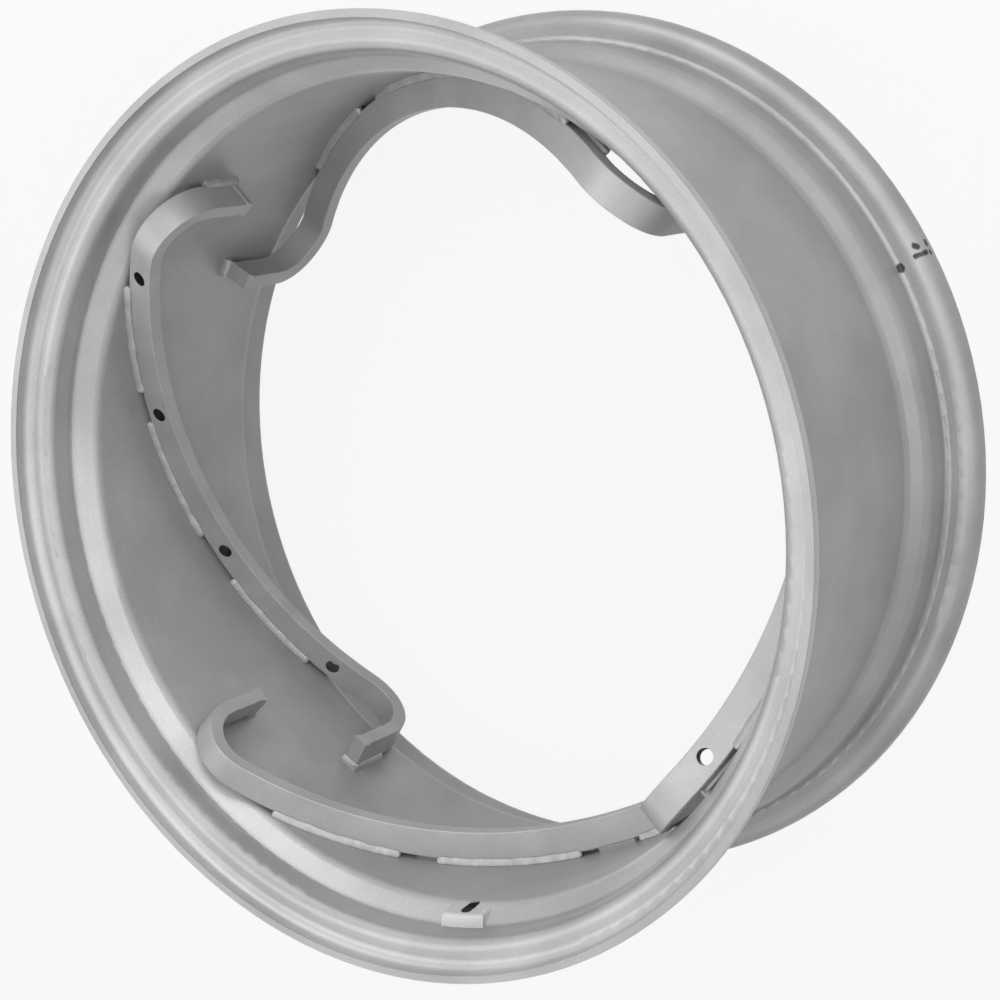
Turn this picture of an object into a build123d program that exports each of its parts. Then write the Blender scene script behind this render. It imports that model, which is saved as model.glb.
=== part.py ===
from build123d import *
import math
import os

os.makedirs("parts", exist_ok=True)

# Tractor wheel rim lying on its lower flange lip.
# The axis is +Z through the origin, lengths are in millimetres and angles in degrees.

# Rim size, an 11 x 28 well base rim rolled from strip
OVERALL_WIDTH = 320.0
BEAD_SEAT_RADIUS = 355.6
FLANGE_HEIGHT = 25.4
FLANGE_WIDTH = 20.3
FLANGE_RADIUS = BEAD_SEAT_RADIUS + FLANGE_HEIGHT
SHEET_THICKNESS = 6.35
BEAD_TAPER_DEG = 3.5
CURL_RADIUS = 15.0
ROOT_RADIUS = 4.5

# Well, with each step given by its distance in from the lip above or below it
WELL_DEPTH = 15.2
WELL_RADIUS = BEAD_SEAT_RADIUS - WELL_DEPTH
UPPER_LEDGE_END = 39.2
UPPER_WELL_START = 61.0
LOWER_LEDGE_END = 50.5
LOWER_WELL_START = 65.5
LEDGE_BEND_RADIUS = 16.0
WELL_BEND_RADIUS = 11.0
WELL_INNER_RADIUS = WELL_RADIUS - SHEET_THICKNESS

# Butt weld that closes the rolled strip
SEAM_ANGLE_DEG = 23.0
SEAM_WIDTH_DEG = 1.0

# Valve pocket pressed inward through the upper slope of the well
VALVE_ANGLE_DEG = -87.4
POCKET_WIDTH = 40.0
POCKET_START = 41.0
POCKET_END = 66.0
POCKET_RISE = 3.6
POCKET_LEAN = 4.5
POCKET_EDGE_RADIUS = 3.0
VALVE_SLOT_LENGTH = 20.0
VALVE_SLOT_WIDTH = 10.0
VALVE_SLOT_FROM_LIP = 53.5

# Rails of flat bar on edge, each a helix with both ends turned back along the axis
RAIL_ANGLES_DEG = (-1.0, 91.3, 180.0, 270.0)
BAR_HEIGHT = 25.4
BAR_THICKNESS = 12.7
BAR_EDGE_RADIUS = 0.9
RAIL_WALL_GAP = 4.0
RAIL_MID_RADIUS = WELL_INNER_RADIUS - RAIL_WALL_GAP - BAR_HEIGHT / 2
RAIL_PITCH_PER_DEG = 2.585
RAIL_LEG_ANGLE_DEG = 52.75
RAIL_BEND_RADIUS = 40.0
RAIL_LEG_TIP = 28.5
HELIX_STEP = 16.0
BEND_STEP = 8.0
LEG_STEP = 8.0

# Stop pin holes through one opposite pair of rails
HOLED_RAILS = (1, 3)
HOLE_COUNT = 4
HOLE_PITCH_DEG = 24.9
HOLE_OFFSET_DEG = -1.2
HOLE_DIAMETER = 13.0

# Welds that carry the rails off the well
UPPER_STITCHES_DEG = ((-35.5, -17.0), (-12.0, 8.0), (16.0, 33.0))
LOWER_STITCHES_DEG = ((-42.0, -15.0), (-10.0, 10.0), (15.0, 37.0))
WELD_LEG = 3.2
WELD_CLIMB = 2.4
WELD_ROOT = 3.0
WELD_BULGE = 0.6
WELD_SEAT = 0.1
WELD_STATION_DEG = 2.0
BEAD_NOSE = ((0.0, 0.45), (0.3, 0.72), (0.9, 0.93))
END_WELD_LENGTH = 42.0

# Lengths and angles that follow from the values above
MID_HEIGHT = OVERALL_WIDTH / 2
LEDGE_DROP = math.tan(math.radians(BEAD_TAPER_DEG))
RAIL_SLOPE = math.atan(math.degrees(RAIL_PITCH_PER_DEG) / RAIL_MID_RADIUS)
RAIL_TURN = math.pi / 2 + RAIL_SLOPE
LEG_S = RAIL_MID_RADIUS * math.radians(RAIL_LEG_ANGLE_DEG)


def unit(dx, dy):
    size = math.hypot(dx, dy)
    return dx / size, dy / size


def bent_line(points, radii):
    """Edges of a polyline whose inner corners are rounded by the given radii."""
    edges = []
    start = points[0]
    for before, corner, after, radius in zip(points, points[1:], points[2:], radii):
        in_dir = unit(corner[0] - before[0], corner[1] - before[1])
        out_dir = unit(after[0] - corner[0], after[1] - corner[1])
        turn = math.acos(in_dir[0] * out_dir[0] + in_dir[1] * out_dir[1])
        back = radius * math.tan(turn / 2)
        first = (corner[0] - in_dir[0] * back, corner[1] - in_dir[1] * back)
        last = (corner[0] + out_dir[0] * back, corner[1] + out_dir[1] * back)
        middle_dir = unit(out_dir[0] - in_dir[0], out_dir[1] - in_dir[1])
        reach = radius / math.cos(turn / 2) - radius
        middle = (corner[0] + middle_dir[0] * reach, corner[1] + middle_dir[1] * reach)
        edges.append(Edge.make_line((start[0], 0, start[1]), (first[0], 0, first[1])))
        edges.append(
            Edge.make_three_point_arc(
                (first[0], 0, first[1]), (middle[0], 0, middle[1]), (last[0], 0, last[1])
            )
        )
        start = last
    end = points[-1]
    edges.append(Edge.make_line((start[0], 0, start[1]), (end[0], 0, end[1])))
    return edges


def inset(points, radii, distance):
    """Corner points and bend radii of the line that runs beside a polyline, nearer the axis."""
    sides = []
    for first, last in zip(points, points[1:]):
        direction = unit(last[0] - first[0], last[1] - first[1])
        normal = (-direction[1], direction[0])
        sides.append(((first[0] + normal[0] * distance, first[1] + normal[1] * distance), direction))
    moved = [sides[0][0]]
    for (p, d), (q, e) in zip(sides, sides[1:]):
        along = ((q[0] - p[0]) * e[1] - (q[1] - p[1]) * e[0]) / (d[0] * e[1] - d[1] * e[0])
        moved.append((p[0] + d[0] * along, p[1] + d[1] * along))
    last_side = sides[-1]
    tail = (points[-1][0] - points[-2][0], points[-1][1] - points[-2][1])
    run = math.hypot(*tail)
    start = last_side[0]
    moved.append((start[0] + last_side[1][0] * run, start[1] + last_side[1][1] * run))
    new_radii = []
    for a, b, c, radius in zip(points, points[1:], points[2:], radii):
        cross = (b[0] - a[0]) * (c[1] - b[1]) - (b[1] - a[1]) * (c[0] - b[0])
        new_radii.append(radius - distance if cross > 0 else radius + distance)
    return moved, new_radii


def tyre_side():
    """Corner points (radius, height) from the upper lip to the lower lip, with bend radii."""
    top = OVERALL_WIDTH
    ledge = BEAD_SEAT_RADIUS
    upper_drop = (UPPER_LEDGE_END - FLANGE_WIDTH) * LEDGE_DROP
    lower_drop = (LOWER_LEDGE_END - FLANGE_WIDTH) * LEDGE_DROP
    points = [
        (FLANGE_RADIUS, top),
        (FLANGE_RADIUS, top - FLANGE_WIDTH),
        (ledge, top - FLANGE_WIDTH),
        (ledge - upper_drop, top - UPPER_LEDGE_END),
        (WELL_RADIUS, top - UPPER_WELL_START),
        (WELL_RADIUS, LOWER_WELL_START),
        (ledge - lower_drop, LOWER_LEDGE_END),
        (ledge, FLANGE_WIDTH),
        (FLANGE_RADIUS, FLANGE_WIDTH),
        (FLANGE_RADIUS, 0),
    ]
    radii = [
        CURL_RADIUS,
        ROOT_RADIUS,
        LEDGE_BEND_RADIUS,
        WELL_BEND_RADIUS,
        WELL_BEND_RADIUS,
        LEDGE_BEND_RADIUS,
        ROOT_RADIUS,
        CURL_RADIUS,
    ]
    return points, radii


def strip_section():
    """Cross-section of the rolled strip."""
    outer, outer_radii = tyre_side()
    inner, inner_radii = inset(outer, outer_radii, -SHEET_THICKNESS)
    outer_edges = bent_line(outer, outer_radii)
    inner_edges = bent_line(inner, inner_radii)
    top_cap = Edge.make_line((outer[0][0], 0, outer[0][1]), (inner[0][0], 0, inner[0][1]))
    low_cap = Edge.make_line((outer[-1][0], 0, outer[-1][1]), (inner[-1][0], 0, inner[-1][1]))
    return Face(Wire(outer_edges + inner_edges + [top_cap, low_cap]))


def turned(face, arc, start):
    """Revolve a section in the XZ plane about the axis, from a start angle."""
    return Rot(0, 0, start) * revolve(face, Axis.Z, arc)


def half_plane(points):
    """Face in the XZ plane from (radius, height) corner points."""
    return Face(Wire.make_polygon([(r, 0, h) for r, h in points], close=True))


def pocket_boss():
    """Raised inner side of the valve pocket."""
    floor_low = OVERALL_WIDTH - POCKET_END
    floor_high = OVERALL_WIDTH - POCKET_START
    edge_radius = WELL_INNER_RADIUS + POCKET_RISE
    ledge_radius = BEAD_SEAT_RADIUS - SHEET_THICKNESS
    face = half_plane(
        [
            (WELL_INNER_RADIUS, floor_low),
            (edge_radius, floor_high),
            (ledge_radius, floor_high + POCKET_LEAN),
            (ledge_radius + SHEET_THICKNESS / 2, floor_high),
            (WELL_INNER_RADIUS + SHEET_THICKNESS / 2, floor_low),
        ]
    )
    arc = math.degrees(POCKET_WIDTH / WELL_INNER_RADIUS)
    boss = turned(face, arc, VALVE_ANGLE_DEG - arc / 2)
    inner = [e for e in boss.edges() if rim_distance(e) < edge_radius + 0.5 and in_open(e)]
    return fillet(inner, POCKET_EDGE_RADIUS)


def rim_distance(edge):
    """Distance from the axis of an edge's middle."""
    middle = edge.position_at(0.5)
    return math.hypot(middle.X, middle.Y)


def in_open(edge):
    """True for an edge that isn't on the joint between pocket floor and well floor."""
    return edge.position_at(0.5).Z > OVERALL_WIDTH - POCKET_END + 0.5


def pocket_recess():
    """Hollow outer side of the valve pocket."""
    floor_low = OVERALL_WIDTH - POCKET_END
    floor_high = OVERALL_WIDTH - POCKET_START - SHEET_THICKNESS
    face = half_plane(
        [
            (WELL_RADIUS, floor_low),
            (WELL_RADIUS + POCKET_RISE, floor_high),
            (FLANGE_RADIUS, floor_high + POCKET_LEAN * 2),
            (FLANGE_RADIUS, floor_low),
        ]
    )
    arc = math.degrees((POCKET_WIDTH - 2 * SHEET_THICKNESS) / WELL_INNER_RADIUS)
    return turned(face, arc, VALVE_ANGLE_DEG - arc / 2)


def valve_slot():
    """Cutter for the valve slot, its long way along the axis."""
    place = Rot(0, 0, VALVE_ANGLE_DEG) * Pos(
        WELL_INNER_RADIUS - SHEET_THICKNESS, 0, OVERALL_WIDTH - VALVE_SLOT_FROM_LIP
    )
    slot = SlotOverall(VALVE_SLOT_LENGTH, VALVE_SLOT_WIDTH)
    return place * extrude(Plane.YZ * Rot(0, 0, 90) * slot, 4 * SHEET_THICKNESS)


def barrel():
    """Rolled strip with its valve pocket, open at the seam weld."""
    strip = turned(strip_section(), 360 - SEAM_WIDTH_DEG, SEAM_ANGLE_DEG + SEAM_WIDTH_DEG / 2)
    return strip + pocket_boss() - pocket_recess() - valve_slot()


def seam_weld():
    """Butt weld through the full strip, ground flush on both sides."""
    return turned(strip_section(), SEAM_WIDTH_DEG, SEAM_ANGLE_DEG - SEAM_WIDTH_DEG / 2)


def rail_path():
    """Stations (s, y, direction) of the rail's middle line on the unrolled mid cylinder."""
    top_y = LEG_S * math.tan(RAIL_SLOPE)
    bend_y = (
        top_y
        - RAIL_BEND_RADIUS * math.tan(RAIL_SLOPE)
        - RAIL_BEND_RADIUS / math.cos(RAIL_SLOPE)
    )
    stations = []
    leg_run = bend_y - RAIL_LEG_TIP
    leg_steps = round(leg_run / LEG_STEP)
    for i in range(leg_steps):
        stations.append((-LEG_S, RAIL_LEG_TIP + leg_run * i / leg_steps, math.pi / 2))
    bend_steps = round(RAIL_TURN * RAIL_BEND_RADIUS / BEND_STEP)
    centre_s = -LEG_S + RAIL_BEND_RADIUS
    for i in range(bend_steps):
        turn = RAIL_TURN * i / bend_steps
        stations.append(
            (
                centre_s - RAIL_BEND_RADIUS * math.cos(turn),
                bend_y + RAIL_BEND_RADIUS * math.sin(turn),
                math.pi / 2 - turn,
            )
        )
    start_s = centre_s + RAIL_BEND_RADIUS * math.sin(RAIL_SLOPE)
    helix_steps = round(-start_s / HELIX_STEP)
    for i in range(helix_steps):
        s = start_s * (1 - i / helix_steps)
        stations.append((s, -s * math.tan(RAIL_SLOPE), -RAIL_SLOPE))
    mirrored = [(-s, -y, direction) for s, y, direction in reversed(stations)]
    return stations + [(0.0, 0.0, -RAIL_SLOPE)] + mirrored


def rail_frame(s, y, direction):
    """Plane across the rail: local x points out from the axis, local y across the bar."""
    angle = s / RAIL_MID_RADIUS
    out = Vector(math.cos(angle), math.sin(angle), 0)
    along = Vector(
        -math.sin(angle) * math.cos(direction),
        math.cos(angle) * math.cos(direction),
        math.sin(direction),
    )
    return Plane(origin=out * RAIL_MID_RADIUS + Vector(0, 0, MID_HEIGHT + y), x_dir=out, z_dir=along)


def helix_frame(angle_deg):
    """Rail frame at an angle on its straight helical run."""
    s = RAIL_MID_RADIUS * math.radians(angle_deg)
    return rail_frame(s, -s * math.tan(RAIL_SLOPE), -RAIL_SLOPE)


def rail():
    """One rail about angle 0."""
    profile = RectangleRounded(BAR_HEIGHT, BAR_THICKNESS, BAR_EDGE_RADIUS)
    return loft([rail_frame(*station) * profile for station in rail_path()])


def drilled(bar):
    """A rail with its stop pin holes."""
    for i in range(HOLE_COUNT):
        frame = helix_frame((i - (HOLE_COUNT - 1) / 2) * HOLE_PITCH_DEG + HOLE_OFFSET_DEG)
        across = Plane(origin=frame.origin, z_dir=frame.y_dir)
        bar -= across * Cylinder(HOLE_DIAMETER / 2, 3 * BAR_THICKNESS)
    return bar


def bead_section(side, scale=1.0):
    """Stitch bead across the rail: fills the gap to the wall and climbs one side of the bar."""
    root = BAR_HEIGHT / 2 + WELD_SEAT
    wall = BAR_HEIGHT / 2 + RAIL_WALL_GAP - WELD_SEAT
    flank = BAR_THICKNESS / 2
    middle = ((root + wall) / 2, flank + WELD_SEAT)
    corners = [
        (root - WELD_CLIMB, flank + WELD_SEAT),
        (root, flank + WELD_SEAT),
        (root, flank - WELD_ROOT),
        (wall, flank - WELD_ROOT),
        (wall, flank + WELD_LEG),
    ]
    placed = []
    for x, y in corners:
        placed.append(
            (middle[0] + (x - middle[0]) * scale, (middle[1] + (y - middle[1]) * scale) * side)
        )
    bulge_x = (placed[0][0] + placed[4][0]) / 2 - WELD_BULGE * scale * 0.5
    bulge_y = (placed[0][1] + placed[4][1]) / 2 + WELD_BULGE * scale * side
    lines = [Edge.make_line(a, b) for a, b in zip(placed, placed[1:])]
    crown = Edge.make_three_point_arc(placed[4], (bulge_x, bulge_y), placed[0])
    return Face(Wire(lines + [crown]))


def stitch_bead(side, first, last):
    """One stitch bead between two angles of the helical run, with rounded noses."""
    steps = round((last - first) / WELD_STATION_DEG)
    stations = [(first + inset_deg, scale) for inset_deg, scale in BEAD_NOSE]
    for i in range(1, steps):
        stations.append((first + (last - first) * i / steps, 1.0))
    stations += [(last - inset_deg, scale) for inset_deg, scale in reversed(BEAD_NOSE)]
    return loft([helix_frame(angle) * bead_section(side, scale) for angle, scale in stations])


def stitch_welds(side, arcs):
    """The stitch beads along one side of the rail about angle 0."""
    beads = [stitch_bead(side, first, last) for first, last in arcs]
    return beads[0] + beads[1] + beads[2]


def end_weld():
    """Weld round the foot of the upper leg: along its outer side and across its tip."""
    low = rail_frame(-LEG_S, RAIL_LEG_TIP - WELD_LEG * 0.8, math.pi / 2)
    side_bead = extrude(low * bead_section(-1), END_WELD_LENGTH, dir=low.z_dir)
    tip = rail_frame(-LEG_S, RAIL_LEG_TIP, math.pi / 2)
    reach = BAR_THICKNESS / 2 + WELD_LEG * 0.7
    across = Plane(
        origin=tip.origin - tip.y_dir * reach + tip.z_dir * (BAR_THICKNESS / 2),
        x_dir=tip.x_dir,
        z_dir=tip.y_dir,
    )
    tip_bead = extrude(across * bead_section(1), 2 * reach, dir=across.z_dir)
    return (side_bead + tip_bead) & Pos(0, 0, MID_HEIGHT) * Cylinder(
        WELL_INNER_RADIUS - WELD_SEAT, OVERALL_WIDTH
    )


def flipped(shape):
    """The same shape at the rail's other end, turned half round about its middle."""
    return Pos(0, 0, MID_HEIGHT) * Rot(180, 0, 0) * Pos(0, 0, -MID_HEIGHT) * shape


plain_rail = rail()
drilled_rail = drilled(plain_rail)
upper_end = end_weld()
rail_welds = {
    "upper_stitch_welds": stitch_welds(-1, UPPER_STITCHES_DEG),
    "lower_stitch_welds": stitch_welds(1, LOWER_STITCHES_DEG),
    "upper_end_weld": upper_end,
    "lower_end_weld": flipped(upper_end),
}

nodes = {"rim_barrel": barrel(), "barrel_seam_weld": seam_weld()}
for number, angle in enumerate(RAIL_ANGLES_DEG, start=1):
    place = Rot(0, 0, angle)
    nodes[f"rail_{number}"] = place * (drilled_rail if number in HOLED_RAILS else plain_rail)
    for weld, shape in rail_welds.items():
        nodes[f"rail_{number}_{weld}"] = place * shape

for name, shape in nodes.items():
    shape.label = name
    export_step(shape, f"parts/{name}.step")
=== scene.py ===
import math
import bmesh
import bpy
from mathutils import Matrix, Vector, noise


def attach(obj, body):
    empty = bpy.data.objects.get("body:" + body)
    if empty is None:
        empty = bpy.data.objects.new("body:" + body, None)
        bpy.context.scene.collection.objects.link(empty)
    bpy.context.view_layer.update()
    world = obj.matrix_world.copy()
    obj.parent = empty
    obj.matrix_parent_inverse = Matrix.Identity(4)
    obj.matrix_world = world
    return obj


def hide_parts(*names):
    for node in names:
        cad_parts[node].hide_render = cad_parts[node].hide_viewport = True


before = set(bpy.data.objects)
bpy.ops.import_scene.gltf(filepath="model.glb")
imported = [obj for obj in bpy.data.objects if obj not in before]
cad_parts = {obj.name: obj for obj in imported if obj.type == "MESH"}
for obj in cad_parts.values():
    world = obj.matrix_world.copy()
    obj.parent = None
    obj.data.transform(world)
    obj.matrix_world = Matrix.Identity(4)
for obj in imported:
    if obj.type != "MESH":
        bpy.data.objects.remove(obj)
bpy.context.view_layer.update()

mm = 0.001

# What the looks share with the rim, in millimetres and degrees
rim = {
    "middleHeight": 160.0,
    "wellInside": 334.05,
    "railAngles": (-1.0, 91.3, 180.0, 270.0),
    "railPitch": 2.585,  # fall along the axis for each degree round it
    "barHeight": 25.4,
    "barThickness": 12.7,
    "wallGap": 4.0,
}
barMiddle = rim["wellInside"] - rim["wallGap"] - rim["barHeight"] / 2
railSlope = math.atan(math.degrees(rim["railPitch"]) / barMiddle)


def hexColour(text):  # sRGB hex to the linear colour that a shader takes
    channels = [int(text[i:i + 2], 16) / 255 for i in (1, 3, 5)]
    linear = [c / 12.92 if c <= 0.04045 else ((c + 0.055) / 1.055) ** 2.4 for c in channels]
    return (*linear, 1.0)


def addNode(tree, kind, settings=None, inputs=None):  # an input is a value or another node's output
    node = tree.nodes.new(kind)
    for name, value in (settings or {}).items():
        setattr(node, name, value)
    for name, value in (inputs or {}).items():
        if isinstance(value, bpy.types.NodeSocket):
            tree.links.new(value, node.inputs[name])
        else:
            node.inputs[name].default_value = value
    return node


def newMaterial(name):
    material = bpy.data.materials.new(name)
    material.use_nodes = True
    material.node_tree.nodes.clear()
    return material, material.node_tree


# Satin aluminium paint, sprayed over rolled steel: a pale grey with a soft, broad sheen,
# faint bands where the rolls pressed the strip, cloudy spray and a fine grain of flakes.
# The slope and the flange near the open end are drawn paler, as painted light for the brighter light that
# falls on them.
paint = {
    "colour": "#A8A9A8",
    "cloudColour": "#9D9E9E",
    "metallic": 0.3,
    "gloss": 0.25,
    "roughness": 0.4,
    "roughSpread": 0.04,
    "cloudSize": 70.0,
    "bandLength": 180.0,
    "bandWidth": 3.0,
    "bandSpread": 0.02,
    "flakeSize": 1.1,  # real flakes are finer than a pixel, so the grain is drawn coarser
    "flakeSpread": 0.07,
    "peelSize": 2.4,
    "peelHeight": 0.012,
    "waveSize": 38.0,
    "waveHeight": 0.04,
    "paintedLight": (  # height, and how much painted light brightens the paint there
        (0, 1.0), (257, 1.0), (262, 1.48), (278, 1.48), (282, 1.0),
        (303, 1.0), (309, 1.3), (318, 1.3), (320, 1.05),
    ),
}

# Places painted dark, as painted shade in pits and holes. Each is a rod, with its two ends and its radius.
darkPlaces = {
    "seamPits": (  # pits left beside the seam, on the lower flange, drawn dark as painted shade in them
        ((332.7, 133.6, 21.7), (331.8, 135.9, 21.7), 2.2),
        ((344.1, 151.6, 17.6), (345.2, 150.0, 15.0), 1.8),
        ((344.3, 142.6, 18.2), (350.9, 145.0, 11.0), 1.5),
        ((349.5, 151.4, 6.4), (348.7, 153.4, 6.4), 1.7),
        ((352.4, 144.3, 6.7), (352.0, 145.3, 6.7), 1.4),
    ),
    "pitShadeColour": "#3E3F3F",
    "pitDepth": 1.5,
    "pitRagged": 1.6,  # how far a pit's edge wanders
    "raggedSize": 3.0,
    "valveAngle": -87.4,  # the walls of the valve slot and the pin holes are painted dark, as painted shade inside them
    "slotAway": 339.0,
    "slotEnds": (261.5, 271.5),
    "slotRadius": 5.95,
    "holedRails": (0, 2),
    "holeTurns": (-1.5, -0.5, 0.5, 1.5),
    "holePitch": 24.9,
    "holeOffset": -1.2,
    "holeRadius": 6.6,
    "holeShadeColour": "#2B2B2A",
    "edgeSoftness": 0.2,
    "raggedSoftness": 0.6,
}


def besideAxis(angle, away, height):
    return Vector((away * math.cos(math.radians(angle)), away * math.sin(math.radians(angle)), height))


def pinHoleWalls():  # each rod runs square through the bar
    walls = []
    for rail in darkPlaces["holedRails"]:
        for place in darkPlaces["holeTurns"]:
            turn = place * darkPlaces["holePitch"] + darkPlaces["holeOffset"]
            angle = rim["railAngles"][rail] + turn
            middle = besideAxis(angle, barMiddle, rim["middleHeight"] - rim["railPitch"] * turn)
            along = Vector((0, math.sin(railSlope), math.cos(railSlope))) * rim["barThickness"] / 2
            along.rotate(Matrix.Rotation(math.radians(angle), 3, "Z"))
            walls.append((middle - along, middle + along, darkPlaces["holeRadius"]))
    return walls


slotWall = [(
    besideAxis(darkPlaces["valveAngle"], darkPlaces["slotAway"], darkPlaces["slotEnds"][0]),
    besideAxis(darkPlaces["valveAngle"], darkPlaces["slotAway"], darkPlaces["slotEnds"][1]),
    darkPlaces["slotRadius"],
)]


def bandPlace(tree, place, length, width):  # long round the rim, short across its section
    flat = addNode(tree, "ShaderNodeVectorMath", {"operation": "MULTIPLY"}, {0: place, 1: (1, 1, 0)})
    away = addNode(tree, "ShaderNodeVectorMath", {"operation": "LENGTH"}, {0: flat.outputs[0]})
    outward = addNode(tree, "ShaderNodeVectorMath", {"operation": "NORMALIZE"}, {0: flat.outputs[0]})
    arc = addNode(tree, "ShaderNodeVectorMath", {"operation": "SCALE"},
                  {0: outward.outputs[0], "Scale": rim["wellInside"] / length})
    height = addNode(tree, "ShaderNodeSeparateXYZ", None, {0: place})
    across = addNode(tree, "ShaderNodeMath", {"operation": "MULTIPLY_ADD"},
                     {0: away.outputs["Value"], 1: 1.7, 2: height.outputs["Z"]})
    rise = addNode(tree, "ShaderNodeMath", {"operation": "MULTIPLY"},
                   {0: across.outputs[0], 1: 1 / (width * mm)})
    lift = addNode(tree, "ShaderNodeCombineXYZ", None, {"Z": rise.outputs[0]})
    return addNode(tree, "ShaderNodeVectorMath", {"operation": "ADD"},
                   {0: arc.outputs[0], 1: lift.outputs[0]}).outputs[0]


def paintedLightOver(tree, place, paintedLight):  # painted light: how much brighter the paint is drawn at each height in millimetres
    height = addNode(tree, "ShaderNodeSeparateXYZ", None, {0: place})
    top = paintedLight[-1][0]
    part = addNode(tree, "ShaderNodeMath", {"operation": "MULTIPLY"},
                   {0: height.outputs["Z"], 1: 1 / (top * mm)})
    ramp = addNode(tree, "ShaderNodeValToRGB", None, {"Fac": part.outputs[0]})
    stops = ramp.color_ramp.elements
    for rise, lightGain in paintedLight[1:-1]:
        stops.new(rise / top)
    for stop, (rise, lightGain) in zip(stops, paintedLight):
        stop.color = (lightGain / 2, lightGain / 2, lightGain / 2, 1)  # halved, because a stop's colour goes up to 1
    return addNode(tree, "ShaderNodeMath", {"operation": "MULTIPLY"},
                   {0: ramp.outputs["Color"], 1: 2.0}).outputs[0]


def inRods(tree, place, rods, ragged):  # 1 inside a rod, 0 away from them all
    wander = addNode(tree, "ShaderNodeTexNoise", None, {
        "Vector": place, "Scale": 1 / (darkPlaces["raggedSize"] * mm), "Detail": 2.0,
    })
    shift = addNode(tree, "ShaderNodeVectorMath", {"operation": "MULTIPLY_ADD"}, {
        0: wander.outputs["Color"], 1: [ragged * mm] * 3, 2: [-ragged / 2 * mm] * 3,
    })
    moved = addNode(tree, "ShaderNodeVectorMath", {"operation": "ADD"}, {0: place, 1: shift.outputs[0]})
    softness = darkPlaces["edgeSoftness"] + ragged * darkPlaces["raggedSoftness"]
    deepest = None
    for first, last, radius in rods:
        start = Vector(first) * mm
        run = Vector(last) * mm - start
        away = addNode(tree, "ShaderNodeVectorMath", {"operation": "SUBTRACT"},
                       {0: moved.outputs[0], 1: start})
        along = addNode(tree, "ShaderNodeVectorMath", {"operation": "DOT_PRODUCT"},
                        {0: away.outputs[0], 1: run / run.length_squared})
        part = addNode(tree, "ShaderNodeClamp", None, {"Value": along.outputs["Value"]})
        nearest = addNode(tree, "ShaderNodeVectorMath", {"operation": "SCALE"},
                          {0: run, "Scale": part.outputs[0]})
        gap = addNode(tree, "ShaderNodeVectorMath", {"operation": "DISTANCE"},
                      {0: away.outputs[0], 1: nearest.outputs[0]})
        inside = addNode(tree, "ShaderNodeMapRange", {"interpolation_type": "SMOOTHSTEP"}, {
            "Value": gap.outputs["Value"],
            "From Min": (radius + softness) * mm, "From Max": (radius - softness / 2) * mm,
        })
        deepest = inside if deepest is None else addNode(
            tree, "ShaderNodeMath", {"operation": "MAXIMUM"}, {0: deepest.outputs[0], 1: inside.outputs[0]})
    return deepest.outputs[0]


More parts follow.
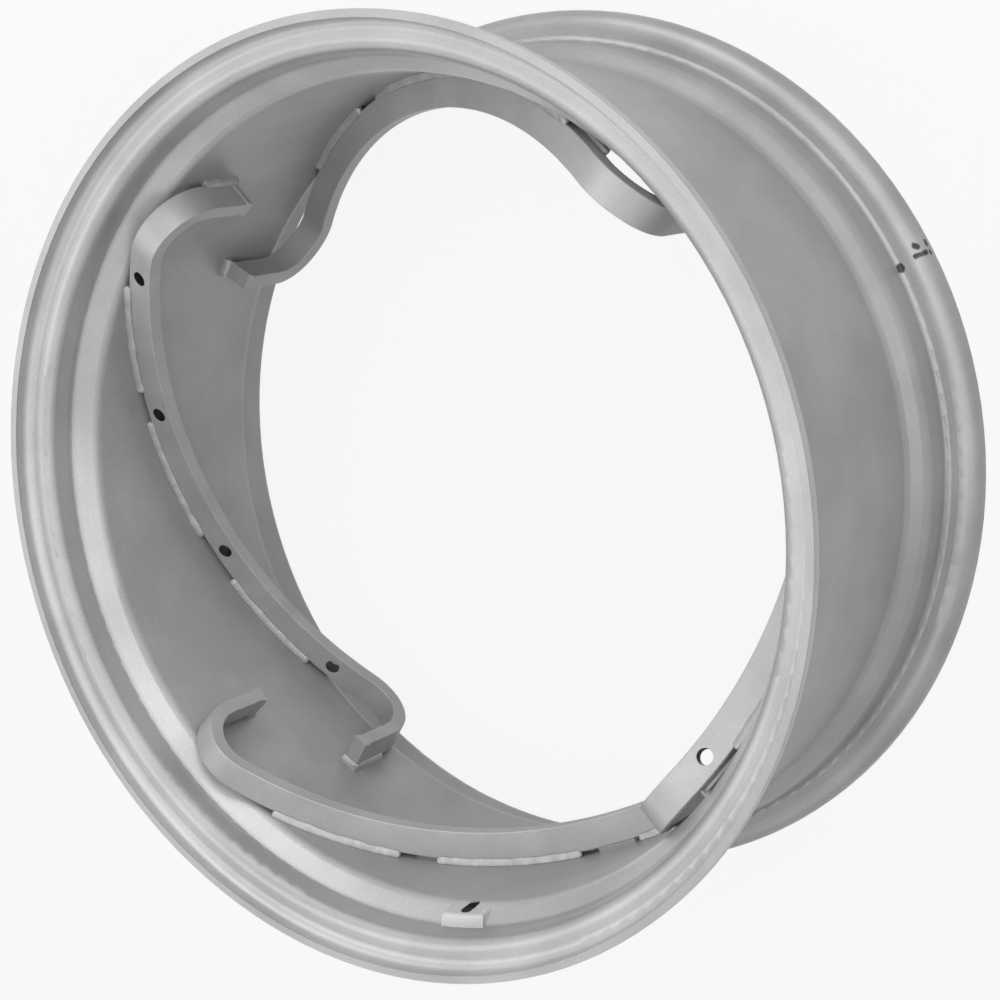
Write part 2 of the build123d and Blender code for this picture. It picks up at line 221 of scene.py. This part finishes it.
def sprayedPaint(name, look, pits=(), shadedWalls=()):
    material, tree = newMaterial(name)
    place = addNode(tree, "ShaderNodeTexCoord").outputs["Object"]
    grains = {}
    for grain, detail in (("cloud", 3.0), ("flake", 1.0), ("wave", 1.0), ("peel", 1.0)):
        grains[grain] = addNode(tree, "ShaderNodeTexNoise", None, {
            "Vector": place, "Scale": 1 / (look[f"{grain}Size"] * mm), "Detail": detail,
        }).outputs["Fac"]
    bands = addNode(tree, "ShaderNodeTexNoise", None, {
        "Vector": bandPlace(tree, place, look["bandLength"], look["bandWidth"]), "Scale": 1.0, "Detail": 4.0,
    }).outputs["Fac"]
    cloudMix = addNode(tree, "ShaderNodeMapRange", None, {
        "Value": grains["cloud"], "From Min": 0.35, "From Max": 0.65,
    })
    tone = addNode(tree, "ShaderNodeMix", {"data_type": "RGBA"}, {
        0: cloudMix.outputs[0], 6: hexColour(look["colour"]), 7: hexColour(look["cloudColour"]),
    })
    flakes = addNode(tree, "ShaderNodeMapRange", None, {
        "Value": grains["flake"], "From Min": 0.3, "From Max": 0.7,
        "To Min": 1 - look["flakeSpread"], "To Max": 1 + look["flakeSpread"],
    })
    banding = addNode(tree, "ShaderNodeMapRange", None, {
        "Value": bands, "From Min": 0.3, "From Max": 0.7,
        "To Min": 1 - look["bandSpread"], "To Max": 1 + look["bandSpread"],
    })
    value = addNode(tree, "ShaderNodeMath", {"operation": "MULTIPLY"},
                    {0: flakes.outputs[0], 1: banding.outputs[0]})
    # painted light: the paint's value is brightened by height on the slope and the flange
    paintedLitValue = addNode(tree, "ShaderNodeMath", {"operation": "MULTIPLY"},
                     {0: value.outputs[0], 1: paintedLightOver(tree, place, look["paintedLight"])})
    colour = addNode(tree, "ShaderNodeVectorMath", {"operation": "SCALE"},
                     {0: tone.outputs[2], "Scale": paintedLitValue.outputs[0]})
    roughness = addNode(tree, "ShaderNodeMapRange", None, {
        "Value": bands, "From Min": 0.25, "From Max": 0.75,
        "To Min": look["roughness"] - look["roughSpread"], "To Max": look["roughness"] + look["roughSpread"],
    })
    waves = addNode(tree, "ShaderNodeBump", None, {
        "Height": grains["wave"], "Distance": look["waveHeight"] * mm,
    })
    peel = addNode(tree, "ShaderNodeBump", None, {
        "Height": grains["peel"], "Distance": look["peelHeight"] * mm, "Normal": waves.outputs[0],
    })
    paintColour = colour.outputs[0]
    normal = peel.outputs[0]
    # painted shade: inside the pits and on the hole walls the paint is drawn in a dark colour
    for rods, ragged, darkColour, depth in (
        (pits, darkPlaces["pitRagged"], darkPlaces["pitShadeColour"], darkPlaces["pitDepth"]),
        (shadedWalls, 0.0, darkPlaces["holeShadeColour"], 0.0),
    ):
        if not rods:
            continue
        dark = inRods(tree, place, rods, ragged)
        paintColour = addNode(tree, "ShaderNodeMix", {"data_type": "RGBA"}, {
            0: dark, 6: paintColour, 7: hexColour(darkColour),
        }).outputs[2]
        if depth:
            normal = addNode(tree, "ShaderNodeBump", {"invert": True}, {
                "Height": dark, "Distance": depth * mm, "Normal": normal,
            }).outputs[0]
    shader = addNode(tree, "ShaderNodeBsdfPrincipled", None, {
        "Base Color": paintColour, "Metallic": look["metallic"], "Specular IOR Level": look["gloss"],
        "Roughness": roughness.outputs[0], "Normal": normal,
    })
    addNode(tree, "ShaderNodeOutputMaterial", None, {"Surface": shader.outputs[0]})
    return material


barrelPaint = sprayedPaint("satinAluminiumPaintOnRolledStrip", paint, darkPlaces["seamPits"], slotWall)

# The same paint on flat bar, with shorter bands and a slightly drier coat
railPaint = sprayedPaint("satinAluminiumPaintOnFlatBar", paint | {
    "colour": "#ADAEAD", "cloudColour": "#A4A5A4", "cloudSize": 40.0, "bandLength": 60.0, "bandWidth": 2.0,
    "roughness": 0.46, "peelHeight": 0.016, "paintedLight": ((0, 1.0), (320, 1.0)),
}, (), pinHoleWalls())

# The same paint over arc welds, blotchy and coarse where it bridges the ripples
weldPaint = sprayedPaint("satinAluminiumPaintOverWeld", paint | {
    "colour": "#B0B1B0", "cloudColour": "#A0A1A0", "cloudSize": 9.0, "peelSize": 1.1, "peelHeight": 0.04,
    "roughness": 0.48, "paintedLight": ((0, 1.0), (320, 1.0)),
})

for nodeName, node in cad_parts.items():
    if nodeName.startswith("rail") and "weld" in nodeName:
        material = weldPaint
    elif nodeName.startswith("rail"):
        material = railPaint
    else:
        material = barrelPaint
    for materialSlot in node.material_slots:
        materialSlot.material = material
print("paint on the frame's nodes")


# Fillet beads laid by hand between each rail and the wall, with the ripples that the pool leaves
beads = {
    "wallLeg": 3.2,  # how far a bead reaches along the wall
    "climb": 2.4,  # how far it climbs the bar's side
    "rootDepth": 3.0,  # how far it runs in under the bar
    "bulge": 0.6,
    "crownPoints": 9,
    "step": 0.6,
    "ripple": 3.2,
    "rippleHeight": 0.3,
    "rippleSharpness": 0.7,
    "rippleLag": 1.2,
    "rippleReach": 8.0,
    "rippleShift": 0.37,
    "lumpSize": 13.0,
    "lumpSpread": 0.18,
    "lumpShift": 7.3,
    "nose": 4.0,
    "noseScale": 0.3,  # a bead's size at its very end
    "seatGap": 0.1,
    "seeds": {"upper": 5, "lower": 8},
    "seedStep": 10,  # from one rail to the next
    "arcs": {  # start and stop in degrees from the rail's middle, negative towards that side's own end
        "upper": ((-35.5, -17.0), (-12.0, 8.0), (16.0, 33.0)),
        "lower": ((-37.0, -15.0), (-10.0, 10.0), (15.0, 42.0)),
    },
}
beadRoot = Vector(((rim["barHeight"] + rim["wallGap"]) / 2, rim["barThickness"] / 2, 0))


def beadOutline():  # across the bead: x is out to the wall, y is away from the bar's side
    barEdge = rim["barHeight"] / 2
    wall = barEdge + rim["wallGap"] - beads["seatGap"]
    flank = rim["barThickness"] / 2
    toe = Vector((wall, flank + beads["wallLeg"], 0))
    crest = Vector((barEdge - beads["climb"], flank + beads["seatGap"], 0))
    outline = [Vector((barEdge, flank, 0)), Vector((barEdge, flank - beads["rootDepth"], 0)),
               Vector((wall, flank - beads["rootDepth"], 0))]
    outward = (crest - toe).cross(Vector((0, 0, 1))).normalized()
    for i in range(beads["crownPoints"]):
        along = i / (beads["crownPoints"] - 1)
        outline.append(toe.lerp(crest, along) + outward * beads["bulge"] * math.sin(math.pi * along))
    return outline


def layBead(bm, start, step, length, seed):  # start and step are matrices, from ring to ring
    outline = beadOutline()
    ring = [bm.verts.new(start @ point) for point in outline]
    edges = [bm.edges.new(pair) for pair in zip(ring, ring[1:] + ring[:1])]
    bm.faces.new(ring)
    rings = [(start, ring)]
    count = round(length / beads["step"])
    matrix = start
    for ringNumber in range(count):
        made = bmesh.ops.extrude_edge_only(bm, edges=edges)["geom"]
        fresh = [v for v in made if isinstance(v, bmesh.types.BMVert)]
        edges = [e for e in made if isinstance(e, bmesh.types.BMEdge) and all(v in fresh for v in e.verts)]
        bmesh.ops.transform(bm, matrix=step, verts=fresh)
        matrix = step @ matrix
        rings.append((matrix, fresh))
    bmesh.ops.edgeloop_fill(bm, edges=edges)
    wallCorner = Vector((beadRoot.x + rim["wallGap"] / 2, beadRoot.y, 0))
    for i, (matrix, verts) in enumerate(rings):
        run = i * length / count
        fromEnd = min(run, length - run)
        rounding = math.sqrt(max(0.0, 1 - (1 - min(1, fromEnd / beads["nose"])) ** 2))
        nose = beads["noseScale"] + (1 - beads["noseScale"]) * rounding
        back = matrix.inverted()
        for vert in verts:
            local = back @ vert.co
            reach = local - wallCorner
            side = reach.x + reach.y
            if reach.y > 0.05:  # the crown, and not the root under the bar
                lag = beads["rippleLag"] * (side / beads["rippleReach"]) ** 2
                phase = (run + lag) / beads["ripple"] + seed * beads["rippleShift"]
                ripple = abs(math.sin(math.pi * phase)) ** beads["rippleSharpness"] * beads["rippleHeight"]
                lump = beads["lumpSpread"] * noise.noise(
                    Vector((run / beads["lumpSize"], seed * beads["lumpShift"], 0)))
                reach = reach * (1 + lump + (ripple - beads["rippleHeight"] / 2) / reach.length)
            local = wallCorner + reach
            vert.co = matrix @ (beadRoot + (local - beadRoot) * nose)


def railRing(angle, rise, lean):  # the plane across a rail's middle line, where a bead starts
    spin = Matrix.Rotation(math.radians(angle), 4, "Z")
    place = Matrix.Translation((0, 0, rim["middleHeight"] + rise)) @ spin
    out = Vector((1, 0, 0))
    along = Vector((0, math.cos(lean), math.sin(lean)))
    up = out.cross(along)
    across = Matrix((out, up, along)).transposed().to_4x4()
    return place @ Matrix.Translation((barMiddle, 0, 0)) @ across


def stitchBeads(bm, arcs, seed):
    for first, last in arcs:
        length = math.radians(last - first) * barMiddle / math.cos(railSlope)
        count = round(length / beads["step"])
        turn = (last - first) / count
        spin = Matrix.Rotation(math.radians(turn), 4, "Z")
        step = Matrix.Translation((0, 0, -rim["railPitch"] * turn)) @ spin
        layBead(bm, railRing(first, -rim["railPitch"] * first, -railSlope), step, length, seed + first)


def finishBeads(bm, label, matrix):
    bmesh.ops.transform(bm, matrix=Matrix.Scale(mm, 4) @ matrix, verts=bm.verts)
    bmesh.ops.recalc_face_normals(bm, faces=bm.faces)
    for face in bm.faces:
        face.smooth = True
    mesh = bpy.data.meshes.new(f"{label}_stitch_beads")
    bm.to_mesh(mesh)
    bm.free()
    mesh.materials.append(weldPaint)
    piece = bpy.data.objects.new(f"{label}_stitch_beads", mesh)
    bpy.context.scene.collection.objects.link(piece)
    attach(piece, "root")
    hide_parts(f"{label}_stitch_welds")


# A rail's lower side is its upper side turned half round about the rail's middle
flip = (Matrix.Translation((0, 0, rim["middleHeight"])) @ Matrix.Rotation(math.pi, 4, "X")
        @ Matrix.Translation((0, 0, -rim["middleHeight"])))
for number, angle in enumerate(rim["railAngles"]):
    railTurn = Matrix.Rotation(math.radians(angle), 4, "Z")
    for side, matrix in (("upper", railTurn), ("lower", railTurn @ flip)):
        bm = bmesh.new()
        stitchBeads(bm, beads["arcs"][side], number * beads["seedStep"] + beads["seeds"][side])
        finishBeads(bm, f"rail_{number + 1}_{side}", matrix)
print("stitch beads laid")


# The camera stands where the photograph was taken from
camera = {
    "place": (1.03291, 0.22683, 1.64310),
    "right": (0.82861, -0.11827, -0.54719),
    "up": (0.02232, 0.98363, -0.17880),
    "back": (0.55938, 0.13595, 0.81769),
    "lens": 78.59,
}
cameraAxes = Matrix((camera["right"], camera["up"], camera["back"])).transposed()
cameraData = bpy.data.cameras.new("photoCamera")
cameraData.lens = camera["lens"]
cameraData.sensor_width = 36.0
cameraObject = bpy.data.objects.new("photoCamera", cameraData)
cameraObject.matrix_world = Matrix.Translation(camera["place"]) @ cameraAxes.to_4x4()
bpy.context.scene.collection.objects.link(cameraObject)
bpy.context.scene.camera = cameraObject

# Soft studio: a dome of wide round lamps, each tilted from straight up towards a point of the compass
studio = {
    "aim": (0.0, 0.0, 0.16),
    "distance": 2.5,
    "size": 1.5,
    "lamps": (  # tilt, direction, power
        (0, 0, 9.6), (35, 0, 8.0), (35, 45, 10.2), (35, 90, 4.8), (35, 180, 13.5), (35, 315, 8.0),
        (65, 0, 8.0), (65, 45, 9.4), (65, 90, 18.7), (65, 135, 4.9),
        (65, 180, 1.2), (65, 225, 9.5), (65, 270, 3.0),
    ),
    "roomLight": 0.02,
    "floorColour": "#BCBCBC",
    "floorGlow": 0.9,
}
for tilt, towards, power in studio["lamps"]:
    offset = (Matrix.Rotation(math.radians(towards), 3, "Z") @ Matrix.Rotation(math.radians(tilt), 3, "Y")
              @ Vector((0, 0, studio["distance"])))
    lampName = f"lamp_{tilt}_{towards}"
    lampData = bpy.data.lights.new(lampName, "AREA")
    lampData.shape = "DISK"
    lampData.size = studio["size"]
    lampData.energy = power
    lampObject = bpy.data.objects.new(lampName, lampData)
    lampObject.matrix_world = (Matrix.Translation(Vector(studio["aim"]) + offset)
                               @ offset.to_track_quat("Z", "Y").to_matrix().to_4x4())
    bpy.context.scene.collection.objects.link(lampObject)


def whiteForCamera(tree):  # 1 for what the camera sees directly or in a reflection
    path = addNode(tree, "ShaderNodeLightPath")
    first = addNode(tree, "ShaderNodeMath", {"operation": "MAXIMUM"},
                    {0: path.outputs["Is Camera Ray"], 1: path.outputs["Is Glossy Ray"]})
    return addNode(tree, "ShaderNodeMath", {"operation": "MAXIMUM"},
                   {0: first.outputs[0], 1: path.outputs["Is Transmission Ray"]}).outputs[0]


world = bpy.data.worlds.new("paleRoom")
bpy.context.scene.world = world
world.use_nodes = True
world.node_tree.nodes.clear()
roomLight = addNode(world.node_tree, "ShaderNodeMapRange", None, {
    "Value": whiteForCamera(world.node_tree), "To Min": studio["roomLight"], "To Max": 1.0,
})
background = addNode(world.node_tree, "ShaderNodeBackground", None,
                     {"Color": (1, 1, 1, 1), "Strength": roomLight.outputs[0]})
addNode(world.node_tree, "ShaderNodeOutputWorld", None, {"Surface": background.outputs[0]})

floorPaint, floorTree = newMaterial("paleFloor")
floorShade = addNode(floorTree, "ShaderNodeBsdfDiffuse", None, {"Color": hexColour(studio["floorColour"])})
floorGlow = addNode(floorTree, "ShaderNodeEmission", None, {"Color": (1, 1, 1, 1), "Strength": 1.0})
glowPart = addNode(floorTree, "ShaderNodeMath", {"operation": "MULTIPLY"},
                   {0: whiteForCamera(floorTree), 1: studio["floorGlow"]})
floorMix = addNode(floorTree, "ShaderNodeMixShader", None,
                   {0: glowPart.outputs[0], 1: floorShade.outputs[0], 2: floorGlow.outputs[0]})
addNode(floorTree, "ShaderNodeOutputMaterial", None, {"Surface": floorMix.outputs[0]})
floorSheet = bmesh.new()
bmesh.ops.create_grid(floorSheet, x_segments=1, y_segments=1, size=30)
floorMesh = bpy.data.meshes.new("floor")
floorSheet.to_mesh(floorMesh)
floorSheet.free()
floorMesh.materials.append(floorPaint)
floor = bpy.data.objects.new("floor", floorMesh)
bpy.context.scene.collection.objects.link(floor)

bpy.context.scene.view_settings.view_transform = "Standard"
print("camera, lamps and floor")
